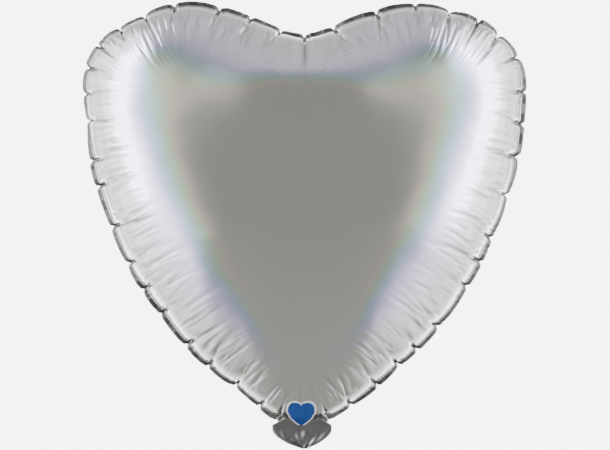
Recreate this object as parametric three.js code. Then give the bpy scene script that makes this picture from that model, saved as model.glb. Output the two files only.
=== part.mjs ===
// Heart-shaped foil balloon, full of gas. Millimetres, +Z up, the front faces -Y.
// The origin is on the tie line, where the neck of the heart folds over to the filling tail.
import * as THREE from "three";

// The full heart
const heartWidth = 370; // across the welded edge at the widest level
const heartHeight = 358; // tie line up to the tops of the lobes
const heartDepth = 204; // front to back through the middle
const cleftDepth = 30; // tops of the lobes down to the notch

// Films and their weld
const filmThickness = 0.3;
const sealWidth = 5.5;
const sealThickness = 0.3;

// Neck and tail
const neckWidth = 46;
const neckShoulder = 4; // straight part of the neck above the tie line
const channelWidth = 26; // unwelded way for the gas through neck and tail
const tailLength = 16;
const tailSideHandle = 0.5; // share of the tail's length
const tailFootHandle = 0.4; // share of half the neck's width
const foldGap = 0.9; // between the welded strips on both sides of the tie line
const foldRelief = 1.6; // the films stop this far from the tie line, so that the tail can fold

// Valve: two soft films inside the heart, above the neck
const valveWidth = 24;
const valveTopWidth = 20;
const valveLength = 80;
const valveFilm = 0.2;
const valveSealWidth = 3;
const valveSealThickness = 0.3;
const valveRise = 0.6; // foot of the valve above the lowest point of the gas space
const coatLength = 20;
const coatThickness = 0.1;
const coatClearance = 0.3;

// Course of the heart's edge: shares of half the width across, and of the height up
const widestLevel = 0.804;
const bellyHandle = 0.281; // level of the handle that fills out the lower side
const upperHandle = 0.963;
const shoulderHandle = { across: 0.067, up: 0.032 }; // beyond the shoulder
const lobeTop = 0.519;
const lobeOuterHandle = 0.573;
const lobeInnerHandle = 0.374;
const notchHandle = { across: 0.025, up: 0.05 }; // the second is a share of the cleft's depth

// How the films bulge: the lobes are round like a cushion, the tip and the notch more like a wedge
const middleLevel = 0.56;
const bulgePower = 2.2;
const roundPower = 0.5;
const tipWedge = { power: 0.45, spread: 0.5 }; // spread in radians round the middle
const notchWedge = { power: 0.12, spread: 0.35 };

// Fineness of the surfaces
const sideSteps = 16;
const lobeSteps = 11;
const cleftSteps = 9;
const ringCount = 8;
const tailSteps = 14;

const halfWidth = heartWidth / 2;
const halfNeck = neckWidth / 2;
const halfChannel = channelWidth / 2;
const cleftHeight = heartHeight - cleftDepth;
const at = (x, z) => new THREE.Vector2(x, z);

const materials = {
  film: { color: 0x9c9b96, roughness: 0.32, metalness: 0.95 },
  seal: { color: 0x6b6b65, roughness: 0.45, metalness: 0.85 },
  valveFilm: { color: 0xe6e7e4, roughness: 0.5, metalness: 0 },
  coat: { color: 0xb9bdc2, roughness: 0.7, metalness: 0 },
};

function part(name, geometry, finish) {
  const mesh = new THREE.Mesh(geometry, new THREE.MeshStandardMaterial(materials[finish]));
  mesh.name = name;
  return mesh;
}

// A flat plate with its outline in X and Z, from front face to back face along Y.
function plate(outline, frontY, thickness) {
  const shape = new THREE.Shape(outline);
  const geometry = new THREE.ExtrudeGeometry(shape, { depth: thickness, bevelEnabled: false });
  geometry.rotateX(Math.PI / 2);
  geometry.translate(0, frontY + thickness, 0);
  return geometry;
}

// The right half's points from bottom to top, and the same mirrored to the left, from top to bottom.
function mirroredLoop(half) {
  const left = half.filter((point) => point.x > 0).map((point) => at(-point.x, point.y));
  return [...half, ...left.reverse()];
}

// Right half of the heart's outer edge, from the neck's shoulder round the lobe to the notch.
function heartEdge() {
  const shoulder = at(halfNeck, neckShoulder);
  const widest = at(halfWidth, widestLevel * heartHeight);
  const top = at(lobeTop * halfWidth, heartHeight);
  const notch = at(0, cleftHeight);
  const side = new THREE.CubicBezierCurve(
    shoulder,
    at(shoulder.x + shoulderHandle.across * halfWidth, shoulder.y + shoulderHandle.up * heartHeight),
    at(halfWidth, bellyHandle * heartHeight),
    widest,
  );
  const lobe = new THREE.CubicBezierCurve(
    widest,
    at(halfWidth, upperHandle * heartHeight),
    at(lobeOuterHandle * halfWidth, heartHeight),
    top,
  );
  const cleft = new THREE.CubicBezierCurve(
    top,
    at(lobeInnerHandle * halfWidth, heartHeight),
    at(notchHandle.across * halfWidth, cleftHeight + notchHandle.up * cleftDepth),
    notch,
  );
  return [
    ...side.getSpacedPoints(sideSteps),
    ...lobe.getSpacedPoints(lobeSteps).slice(1),
    ...cleft.getSpacedPoints(cleftSteps).slice(1),
  ];
}

// The same points moved inwards by the width of the weld, which is the edge of the gas space.
function seamOf(edge) {
  return edge.map((point, i) => {
    if (i === edge.length - 1) return at(0, point.y - sealWidth);
    const before = edge[Math.max(i - 1, 0)];
    const along = edge[i + 1].clone().sub(before).normalize();
    return at(point.x - along.y * sealWidth, point.y + along.x * sealWidth);
  });
}

const edge = heartEdge();
const seam = seamOf(edge);
const gasFloor = seam[0].y; // lowest level of the gas space
const neckStations = [0, halfChannel / 2, halfChannel];
const neckFoot = (level) => [...neckStations.map((x) => at(x, level)), at(halfNeck, level)];
const neckTop = [...neckStations.map((x) => at(x, gasFloor)), at((halfChannel + seam[0].x) / 2, gasFloor)];

const filmEdge = mirroredLoop([...neckFoot(foldRelief), ...edge]);
const gasEdge = mirroredLoop([...neckTop, ...seam]);

// Depth of the film in front of the weld at a share of the way from the middle to the seam.
function bulge(share, direction) {
  const wedge = ({ power, spread }, angle) => power * Math.exp(-((angle / spread) ** 2));
  const fromTip = Math.abs(Math.atan2(direction.x, -direction.y));
  const fromNotch = Math.abs(Math.atan2(direction.x, direction.y));
  const fall = roundPower + wedge(tipWedge, fromTip) + wedge(notchWedge, fromNotch);
  const rise = heartDepth / 2 - filmThickness - sealThickness / 2;
  return rise * (1 - share ** bulgePower) ** fall;
}

// Inner face of the front film: the flat weld first, then rings from the seam to the middle.
function frontFace() {
  const middle = at(0, middleLevel * heartHeight);
  const columns = gasEdge.length;
  const positions = [];
  const spokes = gasEdge.map((point) => point.clone().sub(middle));
  const meanRadius = spokes.reduce((sum, spoke) => sum + spoke.length(), 0) / columns;
  filmEdge.forEach((point) => positions.push(point.x, -sealThickness / 2, point.y));
  for (let ring = 0; ring < ringCount; ring++) {
    const share = Math.cos((ring / ringCount) * (Math.PI / 2));
    spokes.forEach((spoke) => {
      const radius = share * (share * spoke.length() + (1 - share) * meanRadius);
      const place = spoke.clone().setLength(radius).add(middle);
      positions.push(place.x, -sealThickness / 2 - bulge(share, spoke), place.y);
    });
  }
  positions.push(middle.x, -sealThickness / 2 - bulge(0, at(1, 0)), middle.y);

  const index = [];
  const top = (ringCount + 1) * columns;
  for (let column = 0; column < columns; column++) {
    const next = (column + 1) % columns;
    for (let ring = 0; ring < ringCount; ring++) {
      const outer = ring * columns;
      const inner = outer + columns;
      index.push(outer + column, outer + next, inner + next);
      index.push(outer + column, inner + next, inner + column);
    }
    index.push(top - columns + column, top - columns + next, top);
  }
  const geometry = new THREE.BufferGeometry();
  geometry.setAttribute("position", new THREE.Float32BufferAttribute(positions, 3));
  geometry.setIndex(index);
  geometry.computeVertexNormals();
  return geometry;
}

// Gives a face its thickness, outwards along its normals, and closes it round its edge.
function thicken(face, thickness, rimCount) {
  const { position, normal } = face.attributes;
  const count = position.count;
  const inner = new THREE.Vector3();
  const outward = new THREE.Vector3();
  const outerPositions = [];
  for (let i = 0; i < count; i++) {
    inner.fromBufferAttribute(position, i);
    outward.fromBufferAttribute(normal, i);
    inner.addScaledVector(outward, thickness);
    outerPositions.push(inner.x, inner.y, inner.z);
  }
  const outerIndex = [...face.index.array].map((i) => i + count);
  const innerIndex = [...face.index.array].reverse();
  const rim = [];
  for (let i = 0; i < rimCount; i++) {
    const next = (i + 1) % rimCount;
    rim.push(i, next, next + count, i, next + count, i + count);
  }
  const geometry = new THREE.BufferGeometry();
  const positions = [...position.array, ...outerPositions];
  geometry.setAttribute("position", new THREE.Float32BufferAttribute(positions, 3));
  geometry.setIndex([...outerIndex, ...innerIndex, ...rim]);
  return geometry;
}

// The same solid on the other side of the weld.
function acrossWeld(geometry) {
  const copy = geometry.clone().scale(1, -1, 1);
  copy.setIndex([...geometry.index.array].reverse());
  return copy;
}

// The weld runs right round the heart and down both sides of the neck, and leaves the channel open.
function edgeSeal() {
  const outside = [at(halfChannel, foldGap / 2), at(halfNeck, foldGap / 2), ...edge];
  const inside = [at(halfChannel, gasFloor), ...seam];
  const mirror = (points) => points.filter((p) => p.x > 0).map((p) => at(-p.x, p.y)).reverse();
  const outline = [...outside, ...mirror(outside), ...mirror(inside).reverse(), ...[...inside].reverse()];
  return plate(outline, -sealThickness / 2, sealThickness);
}

// Right edge of the tail, from a level near the tie line round to the middle of its free end.
function tailEdge() {
  const curve = new THREE.CubicBezierCurve(
    at(halfNeck, -foldRelief),
    at(halfNeck, -tailSideHandle * tailLength),
    at(tailFootHandle * halfNeck, -tailLength),
    at(0, -tailLength),
  );
  return curve.getPoints(tailSteps);
}

function tailPly(frontY) {
  const right = tailEdge();
  const left = right.slice(0, -1).map((point) => at(-point.x, point.y)).reverse();
  return plate([...right, ...left], frontY, filmThickness);
}

function tailSeal(side) {
  const outside = tailEdge().filter((point) => point.x > halfChannel);
  const foot = outside[outside.length - 1].y;
  const top = -foldGap / 2;
  const outline = [at(halfNeck, top), ...outside, at(halfChannel, foot), at(halfChannel, top)];
  return plate(outline.map((point) => at(side * point.x, point.y)), -sealThickness / 2, sealThickness);
}

// The valve's outlines start at its own foot, which is its hinge line.
const valveSlant = (valveWidth - valveTopWidth) / 2 / valveLength;

function valvePly(frontY) {
  const half = valveWidth / 2;
  const halfTop = valveTopWidth / 2;
  const outline = [at(-half, 0), at(half, 0), at(halfTop, valveLength), at(-halfTop, valveLength)];
  return plate(outline, frontY, valveFilm);
}

function valveSeal(side) {
  const half = valveWidth / 2;
  const halfTop = valveTopWidth / 2;
  const outline = [
    at(side * (half - valveSealWidth), 0),
    at(side * half, 0),
    at(side * halfTop, valveLength),
    at(side * (halfTop - valveSealWidth), valveLength),
  ];
  return plate(outline, -valveSealThickness / 2, valveSealThickness);
}

function releaseCoat() {
  const half = valveWidth / 2 - valveSealWidth - coatClearance - valveSlant * coatLength;
  const outline = [at(-half, 0), at(half, 0), at(half, coatLength), at(-half, coatLength)];
  return plate(outline, -valveSealThickness / 2, coatThickness);
}

function balloonBody() {
  const group = new THREE.Group();
  const front = thicken(frontFace(), filmThickness, filmEdge.length);
  group.add(part("front_panel", front, "film"));
  group.add(part("back_panel", acrossWeld(front), "film"));
  group.add(part("edge_seal", edgeSeal(), "seal"));
  return group;
}

function tailBody() {
  const group = new THREE.Group();
  group.add(part("tail_front_ply", tailPly(-sealThickness / 2 - filmThickness), "film"));
  group.add(part("tail_back_ply", tailPly(sealThickness / 2), "film"));
  group.add(part("tail_seal_left", tailSeal(-1), "seal"));
  group.add(part("tail_seal_right", tailSeal(1), "seal"));
  return group;
}

function valveBody() {
  const group = new THREE.Group();
  group.add(part("valve_front_film", valvePly(-valveSealThickness / 2 - valveFilm), "valveFilm"));
  group.add(part("valve_back_film", valvePly(valveSealThickness / 2), "valveFilm"));
  group.add(part("valve_seal_left", valveSeal(-1), "valveFilm"));
  group.add(part("valve_seal_right", valveSeal(1), "valveFilm"));
  group.add(part("valve_release_coat", releaseCoat(), "coat"));
  group.position.set(0, 0, gasFloor + valveRise);
  return group;
}

const balloon = new THREE.Group();
balloon.name = "heart_foil_balloon";
balloon.add(balloonBody(), tailBody(), valveBody());

export default balloon;
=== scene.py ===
# A heart-shaped foil balloon. Its films are cut flat, welded round the edge and filled here,
# then the puckers along the weld and the creases and wrinkles above them are laid on it.
import math

import bmesh
import bpy
import numpy as np
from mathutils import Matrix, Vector


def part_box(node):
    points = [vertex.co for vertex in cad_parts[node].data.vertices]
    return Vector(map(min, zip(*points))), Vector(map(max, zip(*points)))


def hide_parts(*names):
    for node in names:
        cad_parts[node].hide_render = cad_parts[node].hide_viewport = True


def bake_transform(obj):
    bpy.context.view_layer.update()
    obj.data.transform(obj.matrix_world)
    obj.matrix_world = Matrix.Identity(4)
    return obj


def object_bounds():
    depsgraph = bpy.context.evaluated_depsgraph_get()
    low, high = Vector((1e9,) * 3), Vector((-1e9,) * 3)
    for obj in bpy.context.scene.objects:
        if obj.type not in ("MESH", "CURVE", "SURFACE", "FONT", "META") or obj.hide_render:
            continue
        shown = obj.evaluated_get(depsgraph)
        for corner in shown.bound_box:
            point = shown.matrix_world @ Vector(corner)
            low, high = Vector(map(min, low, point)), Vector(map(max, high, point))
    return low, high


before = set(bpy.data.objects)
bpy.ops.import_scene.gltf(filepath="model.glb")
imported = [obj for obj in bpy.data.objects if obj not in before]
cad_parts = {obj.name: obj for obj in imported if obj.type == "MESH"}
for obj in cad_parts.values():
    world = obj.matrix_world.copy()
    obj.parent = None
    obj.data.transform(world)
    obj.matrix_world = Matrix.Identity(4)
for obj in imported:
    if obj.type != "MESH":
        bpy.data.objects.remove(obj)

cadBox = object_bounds()
mm = 0.001

cameraSet = {
    "distance": 2.4,  # metres in front of the heart
    "pictureHeight": 0.3765,  # metres of the heart's plane that the picture takes in
    "lookAt": (0.0005, 0.0, 0.1712),
    "sensor": 36.0,
    "proportions": (610, 450),
}


def placed(name, data):
    piece = bpy.data.objects.new(name, data)
    bpy.context.collection.objects.link(piece)
    return piece


def makeCamera():
    data = bpy.data.cameras.new("camera")
    data.sensor_width = cameraSet["sensor"]
    across, up = cameraSet["proportions"]
    pictureWidth = cameraSet["pictureHeight"] * across / up
    data.lens = data.sensor_width * cameraSet["distance"] / pictureWidth
    camera = placed("camera", data)
    camera.location = Vector(cameraSet["lookAt"]) - Vector((0, cameraSet["distance"], 0))
    camera.rotation_euler = (math.pi / 2, 0, 0)
    bpy.context.scene.camera = camera


makeCamera()
print("camera made")

flatHeart = {  # right half of the weld line as cut, in millimetres above the neck
    "neckHalf": 19.0,
    "hip": (34.5, 4.5),  # the points that pull the side out from the neck
    "bellyHeight": 93.0,
    "halfWidth": 223.0,
    "wideHeight": 317.0,
    "shoulderHeight": 398.0,
    "lobeOuter": 131.0,
    "lobeTop": 106.0,
    "lobeInner": 44.5,
    "height": 426.0,
    "cleftPull": (6.0, 420.0),
    "cleftHeight": 408.5,
    "flange": 5.5,
    "neckAndTail": 920,  # square millimetres
    "spine": (0.12, 0.68),  # where the rings close up, as shares of the height
    "spineSpread": (0.85, 2.6),  # columns reach the spine higher up than evenly
    "squareOver": 60,  # millimetres of edge over which the columns' directions are evened out
    "bendFrom": 0.66,  # the columns bend from square to the weld over to the spine
    "bendTo": 0.08,
}

filling = {
    "coarse": (160, 24),  # columns round the heart and rings from weld to spine
    "fine": (1200, 34),
    "coarseRuns": [(600, 1e-3, 0.995), (1500, 4e-4, 0.995), (1000, 2e-4, 0.99), (500, 2e-4, 0.95)],
    "slack": 0.02,  # share of its pull that a thread keeps when it is pushed
    "slantPull": 0.35,
    "pullCap": 8,
    "flangePull": 2.0,
    "massMargin": 1.15,  # keeps the steps steady
    "startDepth": 12,
    "shake": 0.05,
    "ringSpread": (0.25, 2.2),  # even share, and the power that draws the rings to the weld
}


def bezier(a, b, c, d, count=120):
    t = np.linspace(0, 1, count)[:, None]
    a, b, c, d = (np.array(p, float) for p in (a, b, c, d))
    return (1 - t) ** 3 * a + 3 * t * (1 - t) ** 2 * b + 3 * t * t * (1 - t) * c + t**3 * d


def weldLine(columns):
    # a closed loop from the middle of the neck up the right side, evenly spaced
    h = flatHeart
    wide = (h["halfWidth"], h["wideHeight"])
    lobe = (h["lobeTop"], h["height"])
    right = np.concatenate([
        [(0, 0)],
        bezier((h["neckHalf"], 0), h["hip"], (h["halfWidth"], h["bellyHeight"]), wide),
        bezier(wide, (h["halfWidth"], h["shoulderHeight"]), (h["lobeOuter"], h["height"]), lobe)[1:],
        bezier(lobe, (h["lobeInner"], h["height"]), h["cleftPull"], (0, h["cleftHeight"]))[1:],
    ])
    loop = np.concatenate([right, right[-2:0:-1] * (-1, 1), right[:1]])
    along = np.concatenate([[0], np.cumsum(np.linalg.norm(np.diff(loop, axis=0), axis=1))])
    at = np.arange(columns) / columns * along[-1]
    return np.stack([np.interp(at, along, loop[:, k]) for k in (0, 1)], 1), along[-1]


def outwards(line):
    # unit vectors square to a closed line in the heart's plane, away from its inside
    along = np.roll(line, -1, 0) - np.roll(line, 1, 0)
    along /= np.linalg.norm(along, axis=1)[:, None]
    return np.stack([along[:, 1], -along[:, 0]], 1)


def wrapped(values, turn):
    # the shorter way round, to one side or the other
    return (values + turn / 2) % turn - turn / 2


def evened(values, width):
    # evens out the last axis, which runs right round, over a share of the way round
    turns = np.fft.rfftfreq(values.shape[-1]) * values.shape[-1] * width
    return np.fft.irfft(np.fft.rfft(values) * np.exp(-(turns**2) * 6), values.shape[-1])


class Threads:
    # the film as a net: threads along the rings, along the columns and on both slants
    def __init__(self, flat, stiffness=1.0):
        size = lambda a, b: np.linalg.norm(b - a, axis=-1)
        after = np.roll(flat, -1, 1)
        self.ring = size(flat, after)
        self.column = size(flat[:-1], flat[1:])
        self.rise = size(flat[:-1], after[1:])
        self.fall = size(flat[1:], after[:-1])
        reach = np.zeros_like(self.ring)
        reach[:-1] += self.column / 2
        reach[1:] += self.column / 2
        width = (self.ring[:-1] + self.ring[1:]) / 2
        cap = filling["pullCap"]
        self.ringPull = stiffness * np.clip(reach / np.maximum(self.ring, 1e-3), 0, cap)
        self.columnPull = stiffness * np.clip(width / np.maximum(self.column, 1e-3), 0, cap)
        slants = np.maximum(self.rise * self.fall, 1e-6)
        self.slantPull = stiffness * filling["slantPull"] * width * self.column / slants
        mass = self.ringPull + np.roll(self.ringPull, 1, 1)
        inwards = self.columnPull + self.slantPull + np.roll(self.slantPull, 1, 1)
        mass[:-1] += inwards
        mass[1:] += inwards
        self.mass = mass

    def pull(self, place, force, slack, pressure=None):
        def tension(a, b, rest, stiffness):
            d = b - a
            stretch = 1 - rest / np.maximum(np.sqrt((d * d).sum(-1)), 1e-6)
            return (stiffness * np.where(stretch > 0, stretch, slack * stretch))[..., None] * d

        after = np.roll(place, -1, axis=-2)
        outer, inner = place[..., :-1, :, :], place[..., 1:, :, :]
        outerAfter, innerAfter = after[..., :-1, :, :], after[..., 1:, :, :]
        f = tension(place, after, self.ring, self.ringPull)
        force += f
        force -= np.roll(f, 1, axis=-2)
        f = tension(outer, inner, self.column, self.columnPull)
        force[..., :-1, :, :] += f
        force[..., 1:, :, :] -= f
        f = tension(outer, innerAfter, self.rise, self.slantPull)
        force[..., :-1, :, :] += f
        force[..., 1:, :, :] -= np.roll(f, 1, axis=-2)
        f = tension(inner, outerAfter, self.fall, self.slantPull)
        force[..., 1:, :, :] += f
        force[..., :-1, :, :] -= np.roll(f, 1, axis=-2)
        if pressure is not None:
            push = np.cross(innerAfter - outer, outerAfter - inner) * (pressure / 8)
            push += np.roll(push, 1, axis=-2)
            force[..., :-1, :, :] += push
            force[..., 1:, :, :] += push


class Film:
    # two sheets of rings, front and back, which share the weld, and the welded flange outside it
    def __init__(self, columns, inward, slack):
        h = flatHeart
        outline, self.perimeter = weldLine(columns)
        toTop = np.minimum(np.arange(columns), columns - np.arange(columns)) / (columns / 2)
        low, high = (share * h["height"] for share in h["spine"])
        early, power = h["spineSpread"]
        up = early * (1 - (1 - toTop) ** power) + (1 - early) * toTop
        spine = np.stack([np.zeros(columns), low + (high - low) * up], 1)
        self.columns, self.inward, self.slack = columns, inward, slack
        # columns start square to the weld and bend over to the spine
        square = evened(outwards(outline).T, h["squareOver"] / self.perimeter).T
        square /= np.linalg.norm(square, axis=1)[:, None]
        length = np.linalg.norm(outline - spine, axis=1)[:, None]
        ring = inward[:, None, None]
        bent = np.clip((h["bendFrom"] - ring) / (h["bendFrom"] - h["bendTo"]), 0, 1)
        bent = bent * bent * (3 - 2 * bent)
        straight = outline - square * length * (1 - ring)
        self.flat = (straight + bent * (spine + ring * (outline - spine) - straight)).astype(np.float32)
        rows = np.array([0, 0.5, 1])[:, None, None] * h["flange"]
        self.flatFlange = (outline + rows * outwards(outline)).astype(np.float32)
        self.threads = Threads(self.flat)
        self.flangeThreads = Threads(self.flatFlange, filling["flangePull"])
        self.acrossSpine = -np.arange(columns) % columns
        self.neck = np.flatnonzero(outline[:, 1] < 1e-6)
        self.neckWidths = outline[self.neck, 0].astype(np.float32)

    def lay(self):
        depth = filling["startDepth"] * np.sqrt(1 - self.inward**2)[:, None]
        self.sheets = np.zeros((2, *self.flat.shape[:2], 3), np.float32)
        self.sheets[..., ::2] = self.flat
        self.sheets[0, ..., 1] -= depth
        self.sheets[1, ..., 1] += depth
        self.flange = np.zeros((*self.flatFlange.shape[:2], 3), np.float32)
        self.flange[..., ::2] = self.flatFlange
        self.stop()

    def stop(self):
        self.speed = np.zeros_like(self.sheets)
        self.flangeSpeed = np.zeros_like(self.flange)

    def shake(self, amount):
        draw = np.random.default_rng(1)
        self.sheets[:, 1:-1] += draw.normal(0, amount, self.sheets[:, 1:-1].shape)
        self.flange[1:, :, 1] += draw.normal(0, amount, self.flange[1:, :, 1].shape)

    def holdNeck(self):
        # the valve keeps the neck flat and at its full width
        level = self.sheets[0, 0, self.neck, 2].mean()
        flatNeck = np.stack([self.neckWidths, 0 * self.neckWidths, 0 * self.neckWidths + level], 1)
        self.sheets[:, 0, self.neck] = flatNeck
        self.flange[0, self.neck] = flatNeck

    def fill(self, steps, pressure, calm):
        mass = filling["massMargin"] * self.threads.mass
        flangeMass = filling["massMargin"] * self.flangeThreads.mass
        weldMass = 2 * mass[0] + flangeMass[0]
        spineMass = mass[-1] + mass[-1][self.acrossSpine]
        push = np.array([-pressure, pressure], np.float32)[:, None, None, None]
        for _ in range(steps):
            force = np.zeros_like(self.sheets)
            flangeForce = np.zeros_like(self.flange)
            self.threads.pull(self.sheets, force, self.slack, push)
            self.flangeThreads.pull(self.flange, flangeForce, self.slack)
            weld = (force[0, 0] + force[1, 0] + flangeForce[0]) / weldMass[:, None]
            spine = (force[:, -1] + force[:, -1][:, self.acrossSpine]) / spineMass[:, None]
            force /= mass[..., None]
            flangeForce /= flangeMass[..., None]
            force[:, -1] = spine
            force[:, 0] = weld
            flangeForce[0] = weld
            self.speed = (self.speed + force) * calm
            self.flangeSpeed = (self.flangeSpeed + flangeForce) * calm
            self.sheets += self.speed
            self.flange += self.flangeSpeed
            self.holdNeck()

    def refined(self, columns, inward):
        # the same film with more columns and rings, evened out along the rings
        finer = Film(columns, inward, self.slack)
        moreColumns = smoothly(self.sheets, np.arange(columns) * self.columns / columns, 2, True)
        moreColumns = evened(moreColumns.swapaxes(2, 3), shape["evenOver"] / self.perimeter).swapaxes(2, 3)
        ringAt = np.interp(-inward, -self.inward, np.arange(len(self.inward)))
        finer.sheets = smoothly(moreColumns, ringAt, 1, False)
        finer.sheets[:, 0] = finer.sheets[:, 0].mean(0)
        finer.sheets[:, -1] = (finer.sheets[:, -1] + finer.sheets[:, -1][:, finer.acrossSpine]) / 2
        return finer


def smoothly(a, at, axis, closed):
    # cubic steps between the entries of one axis
    count = a.shape[axis]
    base = np.floor(at).astype(int)
    if not closed:
        base = np.minimum(base, count - 2)
    f = (at - base).reshape([-1 if k == axis else 1 for k in range(a.ndim)])
    pick = lambda k: (base + k) % count if closed else np.clip(base + k, 0, count - 1)
    p, q, r, s = (np.take(a, pick(k), axis=axis) for k in (-1, 0, 1, 2))
    return q + 0.5 * f * (r - p + f * (2 * p - 5 * q + 4 * r - s + f * (3 * (q - r) + s - p)))


def filledHeart():
    columns, rings = filling["coarse"]
    film = Film(columns, np.linspace(1, 0, rings + 1), filling["slack"])
    film.lay()
    film.shake(filling["shake"])
    for steps, pressure, calm in filling["coarseRuns"]:
        film.fill(steps, pressure, calm)
    print("film filled to", np.ptp(film.sheets.reshape(-1, 3), axis=0).round(1), "mm")
    columns, rings = filling["fine"]
    inRings = np.linspace(0, 1, rings + 1)
    even, power = filling["ringSpread"]
    return film.refined(columns, 1 - (even * inRings + (1 - even) * inRings**power))


shape = {
    "evenOver": 45,  # millimetres along the weld
    "filmGap": 0.22,  # millimetres from the middle of the weld to each film's outer face
    "filmThickness": 0.12,
    "weldThickness": 0.16,
    "neckAngle": 0.16,  # radians on either side of the neck where the edge isn't fitted
    "neckReach": 45,  # how far up the seam's height is corrected
    "valley": (15, 58, 283, 34),  # the fold below the cleft: raised by, half width, height and reach
    "gridStep": 1.6,  # the square grid on which the inner rings' depth is evened out
    "gridBlur": 5.5,
    "gridFrom": 0.80,
    "gridFade": 0.2,
    "gridCorner": (250, 100),  # millimetres left of the middle and below the tie line
    "gridSize": (500, 600),
    "middleShare": 0.56,  # of the height, where the spokes to the edge meet
    "seamDrop": 0.6,  # from the valve's foot down to the seam at the neck
    "flangeRows": 3,
    "neckFoot": 3.9,  # height above the tie line where the neck's straight sides begin
    "neckBlend": 10,  # columns beside the neck over which its flange settles
    "tailRows": 12,
    "tailPowers": (1.6, 0.75),
    "channelShare": 0.57,  # unwelded share of the neck's width
    "crumple": 0.9,
    "crumpleFrom": (6, 8),  # height where the crumples start, and over how far they grow
    "crumpleWaves": [  # height, turns across, turns down, start
        (0.9, 8.0, 0.10, 0.7), (0.5, 15.0, -0.32, 0.0), (0.6, 3.1, 0.45, 1.0),
    ],
    "mouth": 0.6,  # how far each ply stands off at the free end
    "mouthReach": 16,
    "flangeLook": 1.05,  # the UV map's height past the weld, by which the foil knows its parts
    "neckLook": 1.08,
    "tailLook": 1.1,
}


def edgeReach(node, middle, angles):
    # how far a CAD node reaches from a point in the heart's plane, in each direction
    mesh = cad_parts[node].data
    place = np.empty(len(mesh.vertices) * 3)
    mesh.vertices.foreach_get("co", place)
    place = place.reshape(-1, 3)[:, ::2] / mm - middle
    ends = np.empty(len(mesh.edges) * 2, int)
    mesh.edges.foreach_get("vertices", ends)
    a, b = place[ends.reshape(-1, 2)].transpose(1, 0, 2)
    reach = np.zeros(len(angles))
    for k, angle in enumerate(angles):
        side = np.array((math.cos(angle), math.sin(angle)))
        ray = np.array((math.sin(angle), -math.cos(angle)))
        offA, offB = a @ side, b @ side
        crossed = offA * offB < 0
        share = offA[crossed] / (offA[crossed] - offB[crossed])
        hits = (a[crossed] + share[:, None] * (b[crossed] - a[crossed])) @ ray
        reach[k] = hits.max()
    return reach


def settled(film):
    # evens out the depth of the inner rings on a fine square grid
    step, blur = shape["gridStep"], shape["gridBlur"]
    size = tuple(int(length / step) for length in shape["gridSize"])
    for sheet in film.sheets:
        cell = np.floor((sheet[..., ::2] + shape["gridCorner"]) / step).astype(int)
        flatCell = (cell[..., 0] * size[1] + cell[..., 1]).ravel()
        count = np.bincount(flatCell, minlength=size[0] * size[1]).astype(float)
        total = np.bincount(flatCell, sheet[..., 1].ravel(), minlength=size[0] * size[1])
        known = (count > 0).astype(float)
        depth = np.where(count > 0, total / np.maximum(count, 1), 0)
        waves = np.fft.fftfreq(size[0])[:, None] ** 2 + np.fft.rfftfreq(size[1]) ** 2
        soft = np.exp(-2 * (math.pi * blur / step) ** 2 * waves)
        spread = lambda a: np.fft.irfft2(np.fft.rfft2(a.reshape(size)) * soft, size)
        even = spread(depth) / np.maximum(spread(known), 1e-6)
        at = (sheet[..., ::2] + shape["gridCorner"]) / step - 0.5
        low = np.floor(at).astype(int)
        fx, fz = np.moveaxis(at - low, -1, 0)
        x, z = low[..., 0], low[..., 1]
        y = (even[x, z] * (1 - fx) + even[x + 1, z] * fx) * (1 - fz)
        y += (even[x, z + 1] * (1 - fx) + even[x + 1, z + 1] * fx) * fz
        share = np.clip((shape["gridFrom"] - film.inward) / shape["gridFade"], 0, 1)[:, None]
        sheet[..., 1] += (y - sheet[..., 1]) * share


def fitToFrame(film):
    # bends the filled heart on to the CAD's outline and brings it to the CAD's depth
    low, high = (np.array(corner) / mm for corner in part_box("front_panel"))
    middle = np.array([0, low[2] + shape["middleShare"] * (high[2] - low[2])])
    weld = film.sheets[0, 0]
    out = outwards(weld[:, ::2])
    reach = flatHeart["flange"] * math.cos(math.radians(sum(puckers["flangeTilt"]) / 2))
    edge = weld[:, ::2] + reach * out
    rise = high[2] - edge[:, 1].max()
    x, _, z = np.moveaxis(film.sheets, -1, 0)
    z += rise
    spokes = edge + (0, rise) - middle
    angles = np.unwrap(np.arctan2(spokes[:, 0], -spokes[:, 1]))
    wanted = edgeReach("front_panel", middle, angles) / np.hypot(*spokes.T)
    turn = 2 * math.pi
    besideNeck = np.abs(wrapped(angles, turn)) > shape["neckAngle"]
    wanted = np.interp(angles, angles[besideNeck], wanted[besideNeck], period=turn)
    ratio = evened(wanted, shape["evenOver"] / film.perimeter)
    grow = 1 + (ratio - 1) * film.inward[:, None]
    x *= grow
    z[:] = middle[1] + (z - middle[1]) * grow
    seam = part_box("valve_front_film")[0][2] / mm - shape["seamDrop"]
    neckLevel = film.sheets[0, 0, film.neck, 2].mean()
    z += (seam - neckLevel) * np.exp(-(((z - neckLevel) / shape["neckReach"]) ** 2))
    rise, wide, at, tall = shape["valley"]
    inside = 1 - film.inward[:, None] ** 6
    z += rise * np.exp(-((x / wide) ** 2) - ((z - at) / tall) ** 2) * inside
    settled(film)
    thin = (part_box("back_panel")[1][1] / mm) / film.sheets[1, ..., 1].max()
    film.sheets[..., 1] *= thin
    film.along = np.arange(film.columns) / film.columns * film.perimeter
    print("edge bent by factors", ratio.min().round(3), "to", ratio.max().round(3))
    print("depth by", round(thin, 3))


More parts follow.
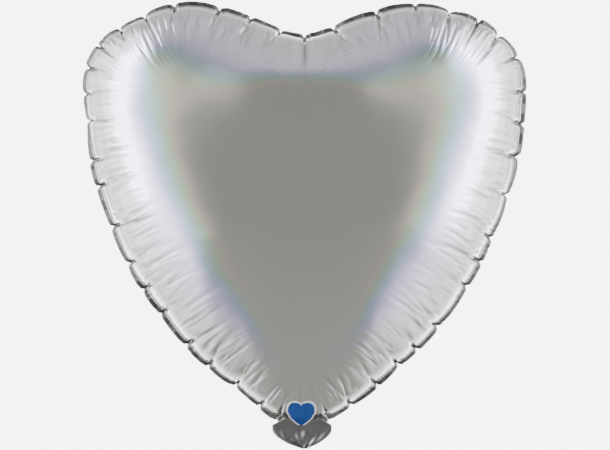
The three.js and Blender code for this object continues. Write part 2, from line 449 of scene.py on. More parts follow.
puckers = {
    "seed": 11,
    "spacing": (23, 42),  # millimetres along the weld from one deep crease to the next
    "besideNeck": 6,
    "archPower": (2.2, 4.0),
    "archMean": 0.7,
    "drawIn": (0.9, 3.4),  # how far the weld is drawn in at a crease
    "drawReach": 10,  # and how far into the film that is felt
    "drawPower": 1.5,
    "puff": 0.7,  # the film stands proud between two creases
    "puffFrom": 4,  # it rises over this far from the weld
    "puffReach": 14,
    "creaseLength": (12, 38),
    "creaseDepth": (1.8, 3.8),
    "creaseWidth": (1.2, 2.0),
    "cleftCrease": (44, 3.4, 2.8, 0.0),  # length, depth, width and slant
    "foldReach": 48,  # no fold is felt further than this along the weld
    "foldFade": 0.8,  # how a fold gets shallower inwards
    "foldStart": 0.12,  # share of its length over which it begins
    "foldPower": 1.3,
    "ridge": (0.30, 3),  # the rise on both sides of a fold, and its width
    "pleats": 2,  # short ones at the foot of each crease
    "pleatLength": (4, 14),
    "pleatDepth": (0.5, 1.3),
    "pleatWidth": (0.8, 1.4),
    "pleatSlant": 0.5,
    "pleatSpread": 4.5,
    "wrinkles": 620,
    "wrinkleFrom": (3, 22),
    "wrinkleLength": (14, 34),
    "wrinkleDepth": (0.2, 1.0),
    "wrinkleWidth": (1.2, 2.3),
    "slant": 0.22,  # sideways run of a fold for its length
    "flangeTilt": (25, 62),  # degrees that the welded edge leans back
    "flangeFlute": 1.4,  # millimetres that it waves in and out
    "fluteTurn": 0.31,
}


def creasePlaces(film, draw):
    # along the weld: up the right side to the cleft, then down the left side
    clear = flatHeart["neckHalf"] + puckers["besideNeck"]
    half = film.perimeter / 2 - clear
    sides = []
    for _ in range(2):
        run = np.cumsum(draw.uniform(*puckers["spacing"], 60))
        count = np.searchsorted(run, half)
        sides.append(run[:count] / run[count - 1] * half)
    right = clear + np.concatenate([[0], sides[0]])
    return np.concatenate([right, film.perimeter - clear - sides[1][-2::-1], [film.perimeter - clear]])


def measured(film, sheet):
    # for each point of a sheet, its nearest place along the weld and how far in from there it shows
    weld = sheet[0][:, ::2]
    tangent = outwards(weld)[:, ::-1] * (-1, 1)
    foot = np.zeros(sheet.shape[:2])
    depthIn = np.zeros(sheet.shape[:2])
    for k, ring in enumerate(sheet[..., ::2]):
        gap = ring[:, None] - weld
        size = (gap**2).sum(-1)
        nearest = size.argmin(1)
        left = gap[np.arange(len(ring)), nearest]
        depthIn[k] = np.sqrt(size.min(1))
        foot[k] = film.along[nearest] + (left * tangent[nearest]).sum(1)
    return foot, depthIn


def dent(lift, film, place, start, length, depth, width, slant, at):
    # one sharp fold, drawn into the height field of one sheet
    p = puckers
    foot, depthIn = place
    near = np.flatnonzero(np.abs(wrapped(film.along - at, film.perimeter)) < p["foldReach"])
    reached = depthIn[:, near] - start
    away = wrapped(foot[:, near] - at, film.perimeter) - slant * reached
    t = reached / length
    onset = p["foldStart"]
    ridge, spread = p["ridge"]
    strength = np.clip(1 - t, 0, 1) ** p["foldFade"] * np.clip((t + onset) / onset, 0, 1)
    fold = np.exp(-((np.abs(away) / width) ** p["foldPower"]))
    fold = fold - ridge * np.exp(-((away / (spread * width)) ** 2))
    lift[:, near] -= depth * strength * fold


def puckered(film):
    # scallops along the weld, a deep crease between each two, and fine wrinkles above them
    p = puckers
    draw = np.random.default_rng(p["seed"])
    drawn = lambda key: draw.uniform(*p[key])
    creases = creasePlaces(film, draw)
    drawIn = draw.uniform(*p["drawIn"], len(creases))
    pulled = np.interp(film.along, creases, drawIn, period=film.perimeter)
    section = np.searchsorted(creases, film.along) % len(creases)
    begin, end = creases[section - 1], creases[section]
    width = (end - begin) % film.perimeter
    share = ((film.along - begin) % film.perimeter) / width
    power = draw.uniform(*p["archPower"], len(creases))[section]
    arch = 1 - np.abs(2 * share - 1) ** power
    onNeck = np.abs(wrapped(film.along, film.perimeter)) < creases[0]
    mean = p["archMean"]
    arch[onNeck] = mean
    # each scallop's edge leans back by its own angle
    tilts = draw.uniform(*p["flangeTilt"], len(creases))
    tilt = np.radians(np.interp(film.along, creases, tilts, period=film.perimeter))
    weld = film.sheets[0, 0]
    out = outwards(weld[:, ::2])
    shift = (arch - mean) * pulled
    film.folds = []
    for side in (0, 1):
        sheet = film.sheets[side]
        normals = closedNormals(sheet)
        normals *= (-1, 1)[side] * np.sign(normals[..., 1:2].mean())
        place = measured(film, sheet)
        depthIn = place[1]
        lift = p["puff"] * (arch - mean) * np.exp(-depthIn / p["puffReach"])
        lift = lift * np.clip(depthIn / p["puffFrom"], 0, 1)
        for at in creases:
            deep = abs(at - film.perimeter / 2) < 1
            fold = drawn("creaseLength"), drawn("creaseDepth"), drawn("creaseWidth")
            fold = (*fold, draw.normal(0, p["slant"]))
            dent(lift, film, place, 0, *(p["cleftCrease"] if deep else fold), at)
            for _ in range(p["pleats"]):
                dent(lift, film, place, 0, drawn("pleatLength"), drawn("pleatDepth"), drawn("pleatWidth"),
                     draw.normal(0, p["pleatSlant"]), at + draw.normal(0, p["pleatSpread"]))
        for at in draw.uniform(0, film.perimeter, p["wrinkles"]):
            dent(lift, film, place, drawn("wrinkleFrom"), drawn("wrinkleLength"), drawn("wrinkleDepth"),
                 drawn("wrinkleWidth"), draw.normal(0, p["slant"]), at)
        lift = lift * film.inward[:, None] ** 0.5
        sheet += lift[..., None] * normals
        film.folds.append(-lift)
        felt = np.exp(-((depthIn / p["drawReach"]) ** p["drawPower"]))
        sheet[..., ::2] += (shift * felt)[..., None] * out
    film.sheets[:, 0] = film.sheets[:, 0].mean(0)
    film.sheets[:, 0, film.neck, 1] = 0
    weld = film.sheets[0, 0]
    turned = np.sign(np.sin(film.along * p["fluteTurn"]))
    fluted = p["flangeFlute"] * (0.5 - arch) * turned
    rows = []
    for part in (0, 0.5, 1):
        reach = part * flatHeart["flange"]
        row = weld.copy()
        row[:, ::2] += (reach * np.cos(tilt))[:, None] * out
        row[:, 1] += reach * np.sin(tilt) + part**2 * fluted
        rows.append(row)
    film.flange = np.stack(rows)


def tailWidth(level, halfNeck, tailLength):
    # half the tail's width at a height below the tie line
    first, second = shape["tailPowers"]
    down = np.clip(-level / tailLength, 0, 0.985)
    return halfNeck * (1 - down**first) ** second


def crumples(across, level, halfNeck, tailLength):
    # soft folds of the slack neck and tail, drawn together towards the tip
    share = across / tailWidth(np.minimum(level, 0), halfNeck, tailLength)
    top, over = shape["crumpleFrom"]
    rise = np.clip((top - level) / over, 0, 1)
    waves = (high * np.sin(a * share + b * level + c) for high, a, b, c in shape["crumpleWaves"])
    return shape["crumple"] * rise**2 * sum(waves)


def weldSheet(film):
    # middle surface of the flange, with the flat neck, and the tail below it
    rows = shape["flangeRows"]
    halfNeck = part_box("tail_front_ply")[1][0] / mm
    tailLength = -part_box("tail_front_ply")[0][2] / mm
    weld = film.flange[0]
    at = np.linspace(0, 2, rows + 1)
    flange = smoothly(film.flange, at, 0, False)
    straight = outwards(weld[:, ::2])
    shares = np.linspace(0, 1, rows + 1)[:, None]
    ideal = np.repeat(weld[None], rows + 1, 0).astype(float)
    ideal[..., ::2] += (shares * flatHeart["flange"])[..., None] * straight
    across = weld[film.neck, 0] / weld[film.neck, 0].max()
    neckTop = weld[film.neck, 2]
    ideal[:, film.neck, 0] = across * (weld[film.neck, 0].max() * (1 - shares) + halfNeck * shares)
    ideal[:, film.neck, 2] = neckTop * (1 - shares) + shape["neckFoot"] * shares
    ideal[:, film.neck, 1] = crumples(
        ideal[:, film.neck, 0], ideal[:, film.neck, 2], halfNeck, tailLength)
    fromNeck = np.abs(wrapped(np.arange(film.columns)[:, None] - film.neck, film.columns)).min(1)
    hold = np.clip(1 - fromNeck / shape["neckBlend"], 0, 1)[:, None]
    flange = flange + (ideal - flange) * hold * hold * (3 - 2 * hold)
    order = film.neck[np.argsort(across)]
    across = np.sort(across)
    levels = np.linspace(shape["neckFoot"], -tailLength, shape["tailRows"] + 1)[1:]
    tail = np.zeros((len(levels), len(order), 3))
    tail[..., 0] = across * tailWidth(levels, halfNeck, tailLength)[:, None]
    tail[..., 2] = levels[:, None]
    tail[..., 1] = crumples(tail[..., 0], tail[..., 2], halfNeck, tailLength)
    return flange, tail, order, across


def closedNormals(grid):
    # unit normals of rows that run right round, towards the back
    along = np.roll(grid, -1, 1) - np.roll(grid, 1, 1)
    out = np.gradient(grid, axis=0)
    normal = np.cross(along, out)
    return normal / np.maximum(np.linalg.norm(normal, axis=-1), 1e-9)[..., None]


def makeMesh(name, points, quads, uv):
    mesh = bpy.data.meshes.new(name)
    mesh.from_pydata((points * mm).tolist(), [], quads.tolist())
    layer = mesh.uv_layers.new(name="film")
    layer.data.foreach_set("uv", uv.astype(np.float32).ravel())
    mesh.polygons.foreach_set("use_smooth", np.ones(len(quads), bool))
    mesh.update()
    return placed(name, mesh)


def numbered(grid, first=0):
    # a vertex number for each point of a grid
    return first + np.arange(grid.shape[0] * grid.shape[1]).reshape(grid.shape[:2])


def gridQuads(index, closed):
    # four corners of each cell of a grid of vertex numbers
    after = np.roll(index, -1, 1) if closed else index[:, 1:]
    here = index if closed else index[:, :-1]
    return np.stack([here[:-1], after[:-1], after[1:], here[1:]], -1).reshape(-1, 4)


def weldSpine(piece):
    # joins the two halves of each ring along the spine
    cloth = bmesh.new()
    cloth.from_mesh(piece.data)
    bmesh.ops.remove_doubles(cloth, verts=cloth.verts, dist=0.02 * mm)
    cloth.to_mesh(piece.data)
    cloth.free()


def thickened(piece, thickness, offset):
    wall = piece.modifiers.new("wall", "SOLIDIFY")
    wall.thickness = thickness * mm
    wall.offset = offset
    wall.use_even_offset = False
    evaluated = piece.evaluated_get(bpy.context.evaluated_depsgraph_get())
    mesh = bpy.data.meshes.new_from_object(evaluated)
    piece.modifiers.clear()
    old, piece.data = piece.data, mesh
    bpy.data.meshes.remove(old)
    mesh.name = piece.name


def filmPiece(name, film, side):
    # one cut film: tail, neck, flange and half of the heart in one sheet
    middle, tail, order, across = weldSheet(film)
    back = 1 if side == "back" else -1
    flange = middle + back * shape["filmGap"] * closedNormals(middle)
    flange[:, film.neck, 1] = middle[:, film.neck, 1] + back * shape["filmGap"]
    opened = np.clip(-tail[..., 2] / shape["mouthReach"], 0, 1) ** 2
    standOff = shape["mouth"] * (1 - across**2) * opened
    tail[..., 1] += back * (shape["filmGap"] + standOff)
    sheet = film.sheets[(back + 1) // 2].astype(float)
    sheet[0] = flange[0]
    rows = np.concatenate([flange[:0:-1], sheet])
    index = numbered(rows)
    tailGrid = np.concatenate([index[:1, order], numbered(tail, index.size)])[::-1]
    heartQuads = gridQuads(index, True)
    tailQuads = gridQuads(tailGrid, False)
    depthIn = np.linspace(shape["flangeLook"], 1, shape["flangeRows"] + 1)[:-1]
    depthIn = np.concatenate([depthIn, film.inward])
    u = np.arange(film.columns + 1) / film.columns * film.perimeter * mm
    outer, inner = depthIn[:-1, None], depthIn[1:, None]
    cellU, nextU, outer, inner = np.broadcast_arrays(u[:-1], u[1:], outer, inner)
    uv = np.stack([cellU, outer, nextU, outer, nextU, inner, cellU, inner], -1)
    onNeck = np.isin(np.arange(film.columns), film.neck)
    onFlange = depthIn[:-1, None] > 1
    neckUv = np.stack([cellU, np.full(cellU.shape, shape["neckLook"])] * 4, -1)
    uv = np.where((onNeck & onFlange)[..., None], neckUv, uv).reshape(-1, 8)
    tailUv = np.tile([0, shape["tailLook"]] * 4, (len(tailQuads), 1))
    quads = np.concatenate([heartQuads, tailQuads])
    uv = np.concatenate([uv, tailUv])
    if side == "back":
        quads = quads[:, ::-1]
        uv = uv.reshape(-1, 4, 2)[:, ::-1].reshape(-1, 8)
    piece = makeMesh(name, np.concatenate([rows.reshape(-1, 3), tail.reshape(-1, 3)]), quads, uv)
    folds = np.zeros(len(piece.data.vertices))
    begin = shape["flangeRows"] * film.columns
    folds[begin:begin + sheet.shape[0] * film.columns] = film.folds[(back + 1) // 2].ravel()
    # the fold depth of each point, kept for the painted shade in the folds and the painted highlight on
    # the ridges
    layer = piece.data.attributes.new("fold", "FLOAT", "POINT")
    layer.data.foreach_set("value", folds.astype(np.float32))
    weldSpine(piece)
    thickened(piece, shape["filmThickness"], -1)
    return piece


def weldPiece(film):
    # the melted strip between the films, open where the gas goes in
    flange, tail, order, across = weldSheet(film)
    outerHalf = np.abs(across) >= shape["channelShare"]
    keep = np.ones(film.columns, bool)
    keep[order[~outerHalf]] = False
    index = numbered(flange)[::-1]
    quads = gridQuads(index, True).reshape(len(index) - 1, -1, 4)
    quads = quads[:, keep & np.roll(keep, -1)].reshape(-1, 4)
    tailGrid = np.concatenate([index[:1, order], numbered(tail, index.size)])[::-1]
    cells = gridQuads(tailGrid, False).reshape(len(tailGrid) - 1, -1, 4)
    tailQuads = cells[:, outerHalf[1:] & outerHalf[:-1]].reshape(-1, 4)
    quads = np.concatenate([quads, tailQuads])
    points = np.concatenate([flange.reshape(-1, 3), tail.reshape(-1, 3)])
    used, quads = np.unique(quads, return_inverse=True)
    piece = makeMesh("weldBand", points[used], quads.reshape(-1, 4), np.zeros((quads.size, 2)))
    thickened(piece, shape["weldThickness"], 0)
    return piece


foil = {
    "silver": (0.66, 0.65, 0.605),
    "topTint": 0.7,  # strength of the painted rainbow reflection where the film leans up, not sideways
    "lowTint": 0.08,  # and where it leans down
    "lowFrom": (-0.60, -0.40),
    "leanFrom": (-0.3, 0.1),  # from leaning down to leaning up
    "sideFrom": (0.12, 0.40),
    "sideLean": 1.24,  # the tints come a little sooner on the sides than on the lobes
    "paintedReflectionBands": [  # how far the film leans away, 0 to 1, and the painted reflection colour there
        (0.00, (0.66, 0.65, 0.590)), (0.400, (0.66, 0.65, 0.590)),
        (0.430, (0.75, 0.655, 0.595)), (0.450, (0.69, 0.700, 0.530)),
        (0.474, (0.56, 0.710, 0.545)), (0.502, (0.52, 0.690, 0.630)),
        (0.532, (0.49, 0.660, 0.730)), (0.565, (0.53, 0.620, 0.820)),
        (0.610, (0.66, 0.620, 0.860)), (0.660, (0.73, 0.660, 0.860)),
        (0.750, (0.69, 0.645, 0.800)), (0.820, (0.63, 0.650, 0.740)),
        (0.900, (0.61, 0.665, 0.650)), (0.970, (0.60, 0.640, 0.620)),
        (1.00, (0.45, 0.470, 0.450)),
    ],
    "grain": (1400.0, 0.03),  # size and strength of the sparkle in the painted reflection colours
    # painted shade: the welded edge, the same foil, is painted near black for the dark surroundings it
    # reflects
    "weldPaintedShade": (0.08, 0.079, 0.074),
    # painted shade: the crumpled neck and tail, the same foil, are painted dark grey for the shade they
    # sit in
    "tailPaintedShade": (0.24, 0.237, 0.224),
    "tailFrom": (0.021, 0.005),  # painted shade: the gathered film by the tail is darkened to the tail's grey between these heights
    "paintedFoldShade": (1.4, 0.30),  # painted shade: a fold this deep in millimetres is darkened to this share
    "paintedRidgeHighlight": (-0.5, 1.1),  # and painted highlight: a ridge this high is brightened to this
    "weldFrom": (1.0, 1.012),  # the UV map's height where the weld, the neck and the tail begin
    "neckFrom": (1.06, 1.075),
    "printTo": 1.09,
    "roughness": 0.18,
    "weldRoughness": 0.34,
    "specular": 0.1,
    "wrinkleDepth": 0.0011,
    "wrinkleLength": 0.0042,
    "wrinkleReach": 0.62,
    "weldCalm": 0.8,
}
ink = {
    "blue": (0.018, 0.072, 0.29),
    "white": (0.85, 0.86, 0.88),
    "centre": (-0.0026, 0.0125),
    "size": 0.0098,
    "keyline": 1.13,
    "sharpness": 900.0,
    "roughness": 0.6,
}


class Nodes:
    # short way to place and join nodes in one tree
    def __init__(self, tree):
        self.tree = tree
        tree.nodes.clear()

    def add(self, kind, inputs=None, **settings):
        node = self.tree.nodes.new(kind)
        for key, value in settings.items():
            setattr(node, key, value)
        for key, value in (inputs or {}).items():
            socket = node.inputs[key]
            if isinstance(value, bpy.types.NodeSocket):
                self.tree.links.new(value, socket)
            else:
                socket.default_value = value
        return node

    def math(self, operation, *values, clamp=False):
        node = self.add("ShaderNodeMath", dict(enumerate(values)), operation=operation, use_clamp=clamp)
        return node.outputs[0]

    def times(self, a, b, clamp=False):
        return self.math("MULTIPLY", a, b, clamp=clamp)


def ranged(nodes, value, ends=(0, 1), to=(0, 1), ease="LINEAR"):
    keys = ("Value", "From Min", "From Max", "To Min", "To Max")
    given = dict(zip(keys, (value, *ends, *to)))
    return nodes.add("ShaderNodeMapRange", given, interpolation_type=ease).outputs[0]


def fade(nodes, value, ends):
    return ranged(nodes, value, ends, ease="SMOOTHSTEP")


def blended(nodes, share, first, second, **settings):
    mix = nodes.add("ShaderNodeMix", {0: share, 6: first, 7: second}, data_type="RGBA", **settings)
    return mix.outputs[2]


def between(nodes, share, first, second):
    return nodes.add("ShaderNodeMix", {0: share, 2: first, 3: second}).outputs[0]


def parts(nodes, kind):
    # x, y and z of one kind of texture coordinate
    place = nodes.add("ShaderNodeTexCoord").outputs[kind]
    return nodes.add("ShaderNodeSeparateXYZ", {0: place}).outputs


def newGroup(name, inputs, output, kind="Float"):
    # the inputs are all numbers
    tree = bpy.data.node_groups.new(name, "ShaderNodeTree")
    for key, value in inputs.items():
        socket = tree.interface.new_socket(key, in_out="INPUT", socket_type="NodeSocketFloat")
        socket.default_value = value
    tree.interface.new_socket(output, in_out="OUTPUT", socket_type="NodeSocket" + kind)
    nodes = Nodes(tree)
    return tree, nodes, nodes.add("NodeGroupInput").outputs


def newMaterial(name):
    material = bpy.data.materials.new(name)
    material.use_nodes = True
    return material, Nodes(material.node_tree)


def filmWrinkleGroup():
    # fine wrinkles that run in from the weld and fade out towards the middle
    inputs = {"Wave length": 0.005, "Reach": 0.5, "Seed": 0.0}
    tree, nodes, given = newGroup("filmWrinkles", inputs, "Height")
    place = nodes.add("ShaderNodeUVMap", uv_map="film").outputs[0]
    split = nodes.add("ShaderNodeSeparateXYZ", {0: place}).outputs
    along = nodes.math("DIVIDE", split[0], given["Wave length"])
    inward = nodes.times(split[1], 2.2)
    point = nodes.add("ShaderNodeCombineXYZ", {0: along, 1: inward, 2: given["Seed"]}).outputs[0]
    noise = nodes.add("ShaderNodeTexNoise", {
        "Vector": point, "Scale": 1.0, "Detail": 1.5, "Roughness": 0.5,
    })
    lift = nodes.math("SUBTRACT", noise.outputs[0], 0.5)
    ramp = ranged(nodes, split[1], (given["Reach"], 1.0), ease="SMOOTHERSTEP")
    nodes.add("NodeGroupOutput", {"Height": nodes.times(lift, ramp)})
    return tree


def paintedRainbowGroup():
    # painted reflection: the rainbow and lilac colours the foil throws back under the studio lights, laid
    # into its colour by how far the surface leans away from the front or back
    tree, nodes, given = newGroup("paintedRainbowReflection", {"Strength": 1.0}, "Color", "Color")
    split = parts(nodes, "Normal")
    side = nodes.times(split[0], foil["sideLean"])
    upright = nodes.times(split[2], split[2])
    lean = nodes.math("ADD", nodes.times(side, side), upright)
    place = nodes.add("ShaderNodeTexCoord").outputs["Object"]
    grain = nodes.add("ShaderNodeTexNoise", {"Vector": place, "Scale": foil["grain"][0]}).outputs[0]
    grain = nodes.times(nodes.math("SUBTRACT", grain, 0.5), foil["grain"][1])
    lean = nodes.math("ADD", nodes.math("SQRT", lean), grain, clamp=True)
    ramp = nodes.add("ShaderNodeValToRGB", {0: lean})
    stops = ramp.color_ramp.elements
    while len(stops) < len(foil["paintedReflectionBands"]):
        stops.new(0.5)
    for stop, (where, colour) in zip(stops, foil["paintedReflectionBands"]):
        stop.position = where
        stop.color = (*colour, 1)
    silver = (*foil["silver"], 1)
    toSide = fade(nodes, nodes.math("ABSOLUTE", split[0]), foil["sideFrom"])
    upDown = ranged(nodes, split[2], foil["leanFrom"], (foil["lowTint"], foil["topTint"]))
    share = ranged(nodes, toSide, to=(upDown, 1.0))
    share = nodes.times(share, given["Strength"])
    share = nodes.times(share, fade(nodes, split[2], foil["lowFrom"]))
    nodes.add("NodeGroupOutput", {"Color": blended(nodes, share, silver, ramp.outputs[0])})
    return tree


def heartPrintGroup():
    # the mask of a small printed heart
    tree, nodes, given = newGroup("heartPrint", {"Size": 0.01, "Across": 0.0, "Up": 0.0}, "Mask")
    split = parts(nodes, "Object")
    x = nodes.math("DIVIDE", nodes.math("SUBTRACT", split[0], given["Across"]), given["Size"])
    z = nodes.math("DIVIDE", nodes.math("SUBTRACT", split[2], given["Up"]), given["Size"])
    x2 = nodes.times(x, x)
    z2 = nodes.times(z, z)
    ring = nodes.math("SUBTRACT", nodes.math("ADD", x2, z2), 1.0)
    cube = nodes.times(nodes.times(ring, ring), ring)
    pull = nodes.times(x2, nodes.times(z2, z))
    inside = nodes.math("SUBTRACT", pull, cube)
    mask = nodes.times(inside, ink["sharpness"], clamp=True)
    nodes.add("NodeGroupOutput", {"Mask": mask})
    return tree


def foilMaterial(name, printed):
    material, nodes = newMaterial(name)
    # painted reflection: the rainbow bands, by how far the surface leans
    colour = nodes.add("ShaderNodeGroup", node_tree=groups["paintedRainbow"]).outputs["Color"]
    given = {"Wave length": foil["wrinkleLength"], "Reach": foil["wrinkleReach"]}
    fine = nodes.add("ShaderNodeGroup", given, node_tree=groups["wrinkles"])
    place = nodes.add("ShaderNodeUVMap", uv_map="film").outputs[0]
    depth = nodes.add("ShaderNodeSeparateXYZ", {0: place}).outputs[1]
    onWeld = fade(nodes, depth, foil["weldFrom"])
    calm = nodes.math("SUBTRACT", 1.0, nodes.times(onWeld, foil["weldCalm"]))
    bump = nodes.add("ShaderNodeBump", {
        "Height": nodes.times(fine.outputs[0], calm),
        "Distance": foil["wrinkleDepth"],
    })
    # painted shade near the tail, darker towards the bottom
    gathered = fade(nodes, parts(nodes, "Object")[2], foil["tailFrom"])
    onTail = nodes.math("MAXIMUM", fade(nodes, depth, foil["neckFrom"]), gathered)
    weldPaintedShade, tailPaintedShade = ((*foil[key], 1) for key in ("weldPaintedShade", "tailPaintedShade"))
    # painted shade in the folds and painted highlight on the ridges
    fold = nodes.add("ShaderNodeAttribute", attribute_name="fold").outputs["Fac"]
    shade = ranged(nodes, fold, *zip(foil["paintedRidgeHighlight"], foil["paintedFoldShade"]))
    colour = blended(nodes, 1.0, colour, shade, blend_type="MULTIPLY")
    # painted shade on the welded edge
    colour = blended(nodes, onWeld, colour, weldPaintedShade)
    # painted shade on the neck, the tail and the gathered film by it
    colour = blended(nodes, onTail, colour, tailPaintedShade)
    rough = between(nodes, onWeld, foil["roughness"], foil["weldRoughness"])
    metal = 1.0
    if printed:
        onHeart = nodes.math("LESS_THAN", depth, foil["printTo"])
        masks = []
        for scale in (ink["keyline"], 1.0):
            given = dict(zip(("Size", "Across", "Up"), (ink["size"] * scale, *ink["centre"])))
            heart = nodes.add("ShaderNodeGroup", given, node_tree=groups["print"])
            masks.append(nodes.times(heart.outputs[0], onHeart))
        colour = blended(nodes, masks[0], colour, (*ink["white"], 1))
        colour = blended(nodes, masks[1], colour, (*ink["blue"], 1))
        metal = nodes.math("SUBTRACT", 1.0, masks[0])
        rough = between(nodes, masks[0], rough, ink["roughness"])
    shader = nodes.add("ShaderNodeBsdfPrincipled", {
        "Base Color": colour, "Metallic": metal, "Roughness": rough,
        "Specular IOR Level": foil["specular"], "Normal": bump.outputs[0],
    })
    nodes.add("ShaderNodeOutputMaterial", {0: shader.outputs[0]})
    return material


plain = {  # colour, roughness, metal and size of the grain
    "meltedEdge": ((0.35, 0.35, 0.33), 0.45, 0.9, 300.0),
    "softValveFilm": ((0.88, 0.89, 0.88), 0.45, 0.0, 120.0),
    "releaseCoat": ((0.62, 0.65, 0.68), 0.7, 0.0, 400.0),
    "mottle": (0.82, 1.12),  # darkest and lightest of the grain
    "grainDepth": 0.0001,
}


def plainMaterial(name):
    colour, roughness, metallic, grain = plain[name]
    material, nodes = newMaterial(name)
    place = nodes.add("ShaderNodeTexCoord").outputs["Object"]
    noise = nodes.add("ShaderNodeTexNoise", {"Vector": place, "Scale": grain, "Detail": 3.0}).outputs[0]
    shade = ranged(nodes, noise, to=plain["mottle"])
    bump = nodes.add("ShaderNodeBump", {"Height": noise, "Distance": plain["grainDepth"]})
    shader = nodes.add("ShaderNodeBsdfPrincipled", {
        "Base Color": blended(nodes, 1.0, (*colour, 1), shade, blend_type="MULTIPLY"),
        "Roughness": roughness, "Metallic": metallic, "Normal": bump.outputs[0],
    })
    nodes.add("ShaderNodeOutputMaterial", {0: shader.outputs[0]})
    return material


studio = {
    "floorDrop": 0.9,  # metres below the tail
    "halfWidth": 2.0,
    "front": -4.0,  # where the paper starts, and where it begins to bend up behind
    "back": 1.8,
    "bend": 2.2,
    "wallTop": 4.6,
    "glow": 4.8,  # the paper behind the heart is lit evenly
    "glowFrom": (1.6, 3.0),
    "glowBelow": (1.9, 0.9),
    "shadedPaper": 0.20,
    "palePaper": 0.88,
    "paleFrom": (0.4, 1.5),
    "paleLean": 0.7,  # the pale sides of the floor close in less in front
    "backFrom": (0.4, 1.6),
    "world": [  # light from in front, from the sides and from behind, along Y from -1 to 1
        (-1.0, 0.46), (-0.80, 0.48), (-0.74, 0.75), (-0.68, 1.2), (-0.60, 1.7), (-0.50, 2.6),
        (-0.40, 4.2), (-0.20, 5.2), (-0.05, 4.8), (0.08, 4.1), (0.30, 4.0), (1.0, 3.8),
    ],
    "dim": [  # the same above and below
        (-1.0, 0.46), (-0.5, 0.48), (-0.3, 0.60), (-0.17, 0.80), (-0.05, 0.92), (0.1, 1.0),
        (0.25, 1.05), (0.45, 1.0), (1.0, 0.9),
    ],
    "sideFrom": (0.38, 0.74),
    "sideRise": 0.09,  # the bright sides reach further in above
    "belowFrom": (-0.72, -0.28),
    "worldColour": (0.985, 0.985, 1.0, 1),
    "aim": (0, 0, 0.2),
    "lights": [  # name, place, size, watts, colour
        ("leftBox", (-1.9, -0.32, 0.75), (0.7, 2.5), 24, (0.97, 0.955, 1.0)),
        ("rightBox", (1.9, -0.32, 0.75), (0.7, 2.5), 24, (0.97, 0.955, 1.0)),
        ("topStripLeft", (-1.05, -0.06, 2.2), (1.3, 0.13), 2.2, (1.0, 1.0, 1.0)),
        ("topStripRight", (1.05, -0.06, 2.2), (1.3, 0.13), 2.2, (1.0, 1.0, 1.0)),
    ],
}


def curve(nodes, value, points):
    # a smooth curve through (input, output) pairs
    low, high = points[0][0], points[-1][0]
    top = max(y for _, y in points)
    node = nodes.add("ShaderNodeFloatCurve", {"Value": ranged(nodes, value, (low, high))})
    line = node.mapping.curves[0]
    while len(line.points) < len(points):
        line.points.new(0.5, 0.5)
    for knot, (x, y) in zip(line.points, points):
        knot.location = ((x - low) / (high - low), y / top)
    node.mapping.update()
    return nodes.times(node.outputs[0], top)


def makeWorld():
    world = bpy.data.worlds.new("studio")
    bpy.context.scene.world = world
    world.use_nodes = True
    nodes = Nodes(world.node_tree)
    way = parts(nodes, "Generated")
    bright = curve(nodes, way[1], studio["world"])
    dim = curve(nodes, way[1], studio["dim"])
    rise = nodes.times(nodes.math("MAXIMUM", way[2], 0.0), studio["sideRise"])
    toSide = fade(nodes, nodes.math("ADD", nodes.math("ABSOLUTE", way[0]), rise), studio["sideFrom"])
    share = nodes.times(toSide, fade(nodes, way[2], studio["belowFrom"]))
    strength = between(nodes, share, dim, bright)
    light = nodes.add("ShaderNodeBackground", {0: studio["worldColour"], 1: strength})
    nodes.add("ShaderNodeOutputWorld", {0: light.outputs[0]})


def paperMaterial():
    material, nodes = newMaterial("whitePaper")
    split = parts(nodes, "Object")
    toBack = fade(nodes, split[1], studio["glowFrom"])
    low = fade(nodes, split[2], studio["glowBelow"])
    nearBack = fade(nodes, split[1], studio["backFrom"])
    inFront = nodes.times(nodes.math("MINIMUM", split[1], 0.0), studio["paleLean"])
    outTo = nodes.math("ADD", nodes.math("ABSOLUTE", split[0]), inFront)
    toSide = fade(nodes, outTo, studio["paleFrom"])
    pale = nodes.math("MAXIMUM", nearBack, toSide)
    glow = nodes.times(nodes.times(toBack, low), studio["glow"])
    grey, white = ((studio[key],) * 3 + (1,) for key in ("shadedPaper", "palePaper"))
    colour = blended(nodes, pale, grey, white)
    shader = nodes.add("ShaderNodeBsdfPrincipled", {
        "Base Color": colour, "Roughness": 0.9, "Emission Color": (1, 1, 1, 1),
        "Emission Strength": glow,
    })
    behind = nodes.add("ShaderNodeNewGeometry").outputs["Backfacing"]  # seen through from behind
    clear = nodes.add("ShaderNodeBsdfTransparent").outputs[0]
    shader = nodes.add("ShaderNodeMixShader", {0: behind, 1: shader.outputs[0], 2: clear})
    nodes.add("ShaderNodeOutputMaterial", {0: shader.outputs[0]})
    return material


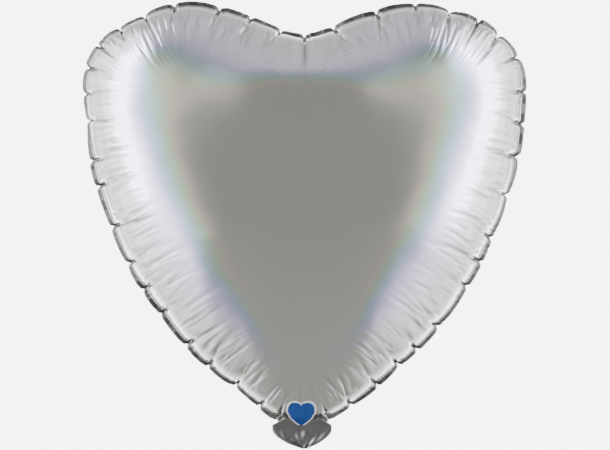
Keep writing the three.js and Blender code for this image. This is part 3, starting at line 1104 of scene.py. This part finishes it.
def makeStudio():
    floorHeight = cadBox[0][2] - studio["floorDrop"]
    bend, back, half = studio["bend"], studio["back"], studio["halfWidth"]
    turns = np.linspace(0, math.pi / 2, 25)
    profile = [(studio["front"], 0.0)]
    profile += [(back + bend * math.sin(a), bend * (1 - math.cos(a))) for a in turns]
    profile.append((back + bend, studio["wallTop"]))
    points = [(x, y, floorHeight + z) for y, z in profile for x in (-half, half)]
    faces = [(2 * k, 2 * k + 1, 2 * k + 3, 2 * k + 2) for k in range(len(profile) - 1)]
    mesh = bpy.data.meshes.new("paperSweep")
    mesh.from_pydata(points, [], faces)
    mesh.polygons.foreach_set("use_smooth", [True] * len(faces))
    sweep = placed("paperSweep", mesh)
    mesh.materials.append(paperMaterial())
    makeWorld()
    for name, place, size, watts, colour in studio["lights"]:
        data = bpy.data.lights.new(name, "AREA")
        data.shape = "RECTANGLE"
        data.size, data.size_y = size
        data.energy = watts
        data.color = colour
        light = placed(name, data)
        light.location = place
        aim = Vector(studio["aim"]) - Vector(place)
        light.rotation_euler = aim.to_track_quat("-Z", "Y").to_euler()
    print("studio made")


groups = {"wrinkles": filmWrinkleGroup(), "paintedRainbow": paintedRainbowGroup(), "print": heartPrintGroup()}
film = filledHeart()
fitToFrame(film)
puckered(film)
frontFilm = filmPiece("frontFilm", film, "front")
backFilm = filmPiece("backFilm", film, "back")
weldBand = weldPiece(film)
counts = [len(piece.data.polygons) for piece in (frontFilm, backFilm, weldBand)]
print("pieces made:", counts, "faces")

frontFilm.data.materials.append(foilMaterial("printedFoil", True))
backFilm.data.materials.append(foilMaterial("plainFoil", False))
weldBand.data.materials.append(plainMaterial("meltedEdge"))
softFilm = plainMaterial("softValveFilm")
coat = plainMaterial("releaseCoat")
for name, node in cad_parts.items():
    if name.startswith("valve"):
        node.data.materials.clear()
        node.data.materials.append(coat if name == "valve_release_coat" else softFilm)
print("materials made")

# the heart with its welded edge above and below, the neck and the tail
outline, _ = weldLine(400)
after = np.roll(outline, -1, 0)
flatArea = abs(np.sum(outline[:, 0] * after[:, 1] - after[:, 0] * outline[:, 1])) / 2
flatArea = (flatArea + film.perimeter * flatHeart["flange"] + flatHeart["neckAndTail"]) * mm * mm
cutFilms = (
    (frontFilm, ("front_panel", "tail_front_ply")),
    (backFilm, ("back_panel", "tail_back_ply")),
)
for piece, nodesHeld in cutFilms:
    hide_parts(*nodesHeld)
    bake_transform(piece)
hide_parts("edge_seal", "tail_seal_left", "tail_seal_right")
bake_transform(weldBand)
makeStudio()
